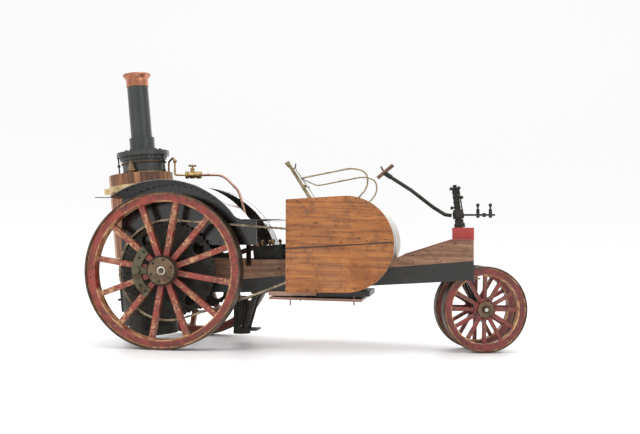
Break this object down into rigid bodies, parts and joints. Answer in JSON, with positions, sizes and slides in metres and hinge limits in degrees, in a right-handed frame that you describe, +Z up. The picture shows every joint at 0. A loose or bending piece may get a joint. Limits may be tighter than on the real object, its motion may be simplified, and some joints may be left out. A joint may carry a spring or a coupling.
{
  "type": "model steam engine",
  "caption": "Model steam road carriage with upright boiler, chain-driven spoked rear wheels, wooden engine casing and tiller-steered front wheels.",
  "frame": {"origin": "centre of the bounding box on the ground", "axes": "+X towards the steered front wheels, +Y to the side away from the lever, +Z up"},
  "size_m": [0.5544, 0.205, 0.351],
  "materials": {
    "wheel_red": "old red paint on wood",
    "tyre_iron": "worn iron",
    "black_paint": "gloss black paint",
    "dark_iron": "dark oiled iron",
    "steel": "bright steel",
    "olive_steel": "tarnished steel",
    "case_wood": "varnished boards",
    "frame_wood": "bare dark wood",
    "black_wood": "blackened wood",
    "lag_wood": "mahogany staves",
    "brass": "dull brass",
    "copper": "copper",
    "stack_green": "green-black paint",
    "red_block": "red paint"
  },
  "bodies": {
    "chassis": {"sole_bars": "black_wood", "side_boards": "frame_wood", "axle_bearings": "dark_iron", "bonnet_board": "frame_wood", "front_block": "red_block", "footboards": "frame_wood", "under_tank": "black_wood", "drive_chains": "steel", "cylinder_block": "dark_iron", "drain_cocks": "brass", "engine_frame": "dark_iron", "feed_pump": "dark_iron", "mounting_step": "dark_iron", "near_casing_boards": "case_wood", "far_casing_boards": "case_wood", "casing_sheet": "steel", "seat_boards": "black_paint", "seat_rail": "olive_steel", "boiler_shell": "dark_iron", "fire_tubes": "dark_iron", "firebox_casing": "dark_iron", "ash_pan": "dark_iron", "lagging_staves": "lag_wood", "lagging_bands": "brass", "cross_boards": "frame_wood", "smokebox": "stack_green", "smokebox_top_plate": "stack_green", "chimney": "stack_green", "chimney_cap": "copper", "safety_valve": "brass", "stop_valve": "brass", "steam_pipe": "copper", "near_fender": "black_paint", "far_fender": "black_paint", "splasher_plates": "black_paint", "column_bearing": "brass"},
    "driving_axle": {"rear_axle": "steel", "rear_tyres": "tyre_iron", "rear_rims": "wheel_red", "rear_spokes": "wheel_red", "rear_hubs": "wheel_red", "drive_sprockets": "dark_iron", "drive_dogs": "olive_steel"},
    "crank": {"crankshaft": "steel", "crank_sprockets": "dark_iron"},
    "near_piston": {"near_piston_rod": "steel"},
    "far_piston": {"far_piston_rod": "steel"},
    "near_rod": {"near_connecting_rod": "steel"},
    "far_rod": {"far_connecting_rod": "steel"},
    "lever": {"control_lever": "olive_steel"},
    "door": {"fire_door": "dark_iron"},
    "valve": {"stop_valve_handle": "brass"},
    "steering": {"steering_post": "dark_iron", "column_tower": "dark_iron", "tiller": "dark_iron", "tiller_handle": "frame_wood"},
    "near_front": {"near_front_wheel": "wheel_red", "near_front_tyre": "tyre_iron"},
    "far_front": {"far_front_wheel": "wheel_red", "far_front_tyre": "tyre_iron"}
  },
  "joints": [
    {"name": "drive_spin", "type": "hinge", "parent": "chassis", "child": "driving_axle", "pos_m": [-0.16701, 0, 0.0952], "axis": [0, 1, 0], "continuous": true},
    {"name": "crank_spin", "type": "hinge", "parent": "chassis", "child": "crank", "pos_m": [0.05219, 0, 0.13214], "axis": [0, 1, 0], "continuous": true},
    {"name": "near_piston_slide", "type": "slide", "parent": "chassis", "child": "near_piston", "axis": [0.9918, 0, 0.1278], "range_m": [-0.009, 0.009]},
    {"name": "near_rod_swing", "type": "hinge", "parent": "near_piston", "child": "near_rod", "pos_m": [-0.00732, -0.018, 0.12447], "axis": [0, 1, 0], "range_deg": [-6, 6]},
    {"name": "far_piston_slide", "type": "slide", "parent": "chassis", "child": "far_piston", "axis": [0.9918, 0, 0.1278], "range_m": [-0.009, 0.009]},
    {"name": "far_rod_swing", "type": "hinge", "parent": "far_piston", "child": "far_rod", "pos_m": [-0.00732, 0.018, 0.12447], "axis": [0, 1, 0], "range_deg": [-6, 6]},
    {"name": "lever_swing", "type": "hinge", "parent": "chassis", "child": "lever", "pos_m": [0.02566, -0.06, 0.15452], "axis": [0, 1, 0], "range_deg": [-14, 0]},
    {"name": "fire_door_swing", "type": "hinge", "parent": "chassis", "child": "door", "pos_m": [-0.24913, 0.0155, 0.05239], "axis": [-0.1139, 0, 0.9935], "range_deg": [-100, 0]},
    {"name": "stop_valve_turn", "type": "hinge", "parent": "chassis", "child": "valve", "pos_m": [-0.16098, 0, 0.22218], "axis": [-0.0234, 0, 0.9997], "range_deg": [0, 270]},
    {"name": "steer", "type": "hinge", "parent": "chassis", "child": "steering", "pos_m": [0.18591, 0, 0.18828], "axis": [-0.145, 0, 0.9894], "range_deg": [-33, 7]},
    {"name": "near_front_spin", "type": "hinge", "parent": "steering", "child": "near_front", "pos_m": [0.21799, 0, 0.054], "axis": [-0.225, 0.9744, 0], "continuous": true},
    {"name": "far_front_spin", "type": "hinge", "parent": "steering", "child": "far_front", "pos_m": [0.21799, 0, 0.054], "axis": [-0.225, 0.9744, 0], "continuous": true}
  ],
  "couplings": [
    {"joint": "crank_spin", "follows": "drive_spin", "ratio": 4.75}
  ]
}
